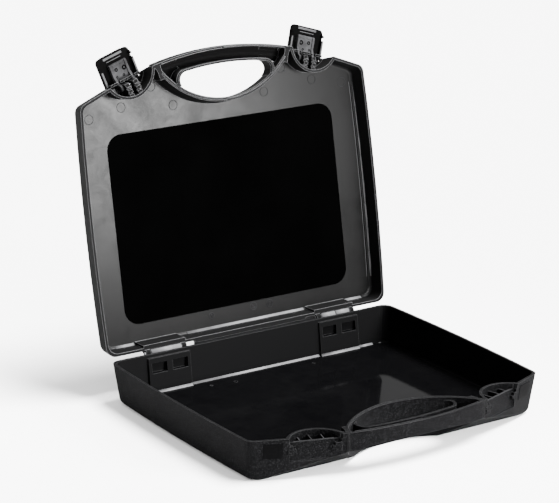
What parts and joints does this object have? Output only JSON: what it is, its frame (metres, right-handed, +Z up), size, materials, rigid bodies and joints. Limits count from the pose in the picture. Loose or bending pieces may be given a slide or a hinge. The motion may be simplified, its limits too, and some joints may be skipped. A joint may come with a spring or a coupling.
{
  "type": "laptop hard case",
  "caption": "Hard plastic carrying case for a laptop: a deep base and a shallow lid on rear hinges, closed by flap latches beside a moulded handle with a hand hole.",
  "frame": {"origin": "middle of the flat underside of the base, half way between the rear rim and the handle's front face", "axes": "+Z up, +X to the right seen from the handle, +Y towards the hinges; the lid stands open and both latches are open at rest"},
  "size_m": [0.3966, 0.4325, 0.3878],
  "materials": {
    "base_plastic": "black, fine sand-blast grain outside, smooth and glossy inside",
    "lid_plastic": "black satin with faint flow marks",
    "gloss_panel": "polished black sheet",
    "latch_plastic": "black, smooth",
    "lever_plastic": "black satin",
    "steel": "drawn steel pin"
  },
  "bodies": {
    "base": {"base_shell": "base_plastic"},
    "lid": {"lid_shell": "lid_plastic", "lid_panel": "gloss_panel", "left_hinge_pin": "steel", "right_hinge_pin": "steel", "left_latch_pin": "steel", "right_latch_pin": "steel"},
    "left_latch": {"left_latch_cover": "latch_plastic", "left_latch_lever": "lever_plastic"},
    "right_latch": {"right_latch_cover": "latch_plastic", "right_latch_lever": "lever_plastic"}
  },
  "joints": [
    {"name": "lid_hinge", "type": "hinge", "parent": "base", "child": "lid", "pos_m": [0, 0.1706, 0.048], "axis": [1, 0, 0], "range_deg": [0, 101]},
    {"name": "left_latch_pivot", "type": "hinge", "parent": "lid", "child": "left_latch", "pos_m": [-0.12243, 0.24304, 0.34729], "axis": [0.9532, 0.0577, 0.2968], "range_deg": [0, 90]},
    {"name": "right_latch_pivot", "type": "hinge", "parent": "lid", "child": "right_latch", "pos_m": [0.12243, 0.24304, 0.34729], "axis": [0.9532, -0.0577, -0.2968], "range_deg": [0, 90]}
  ]
}
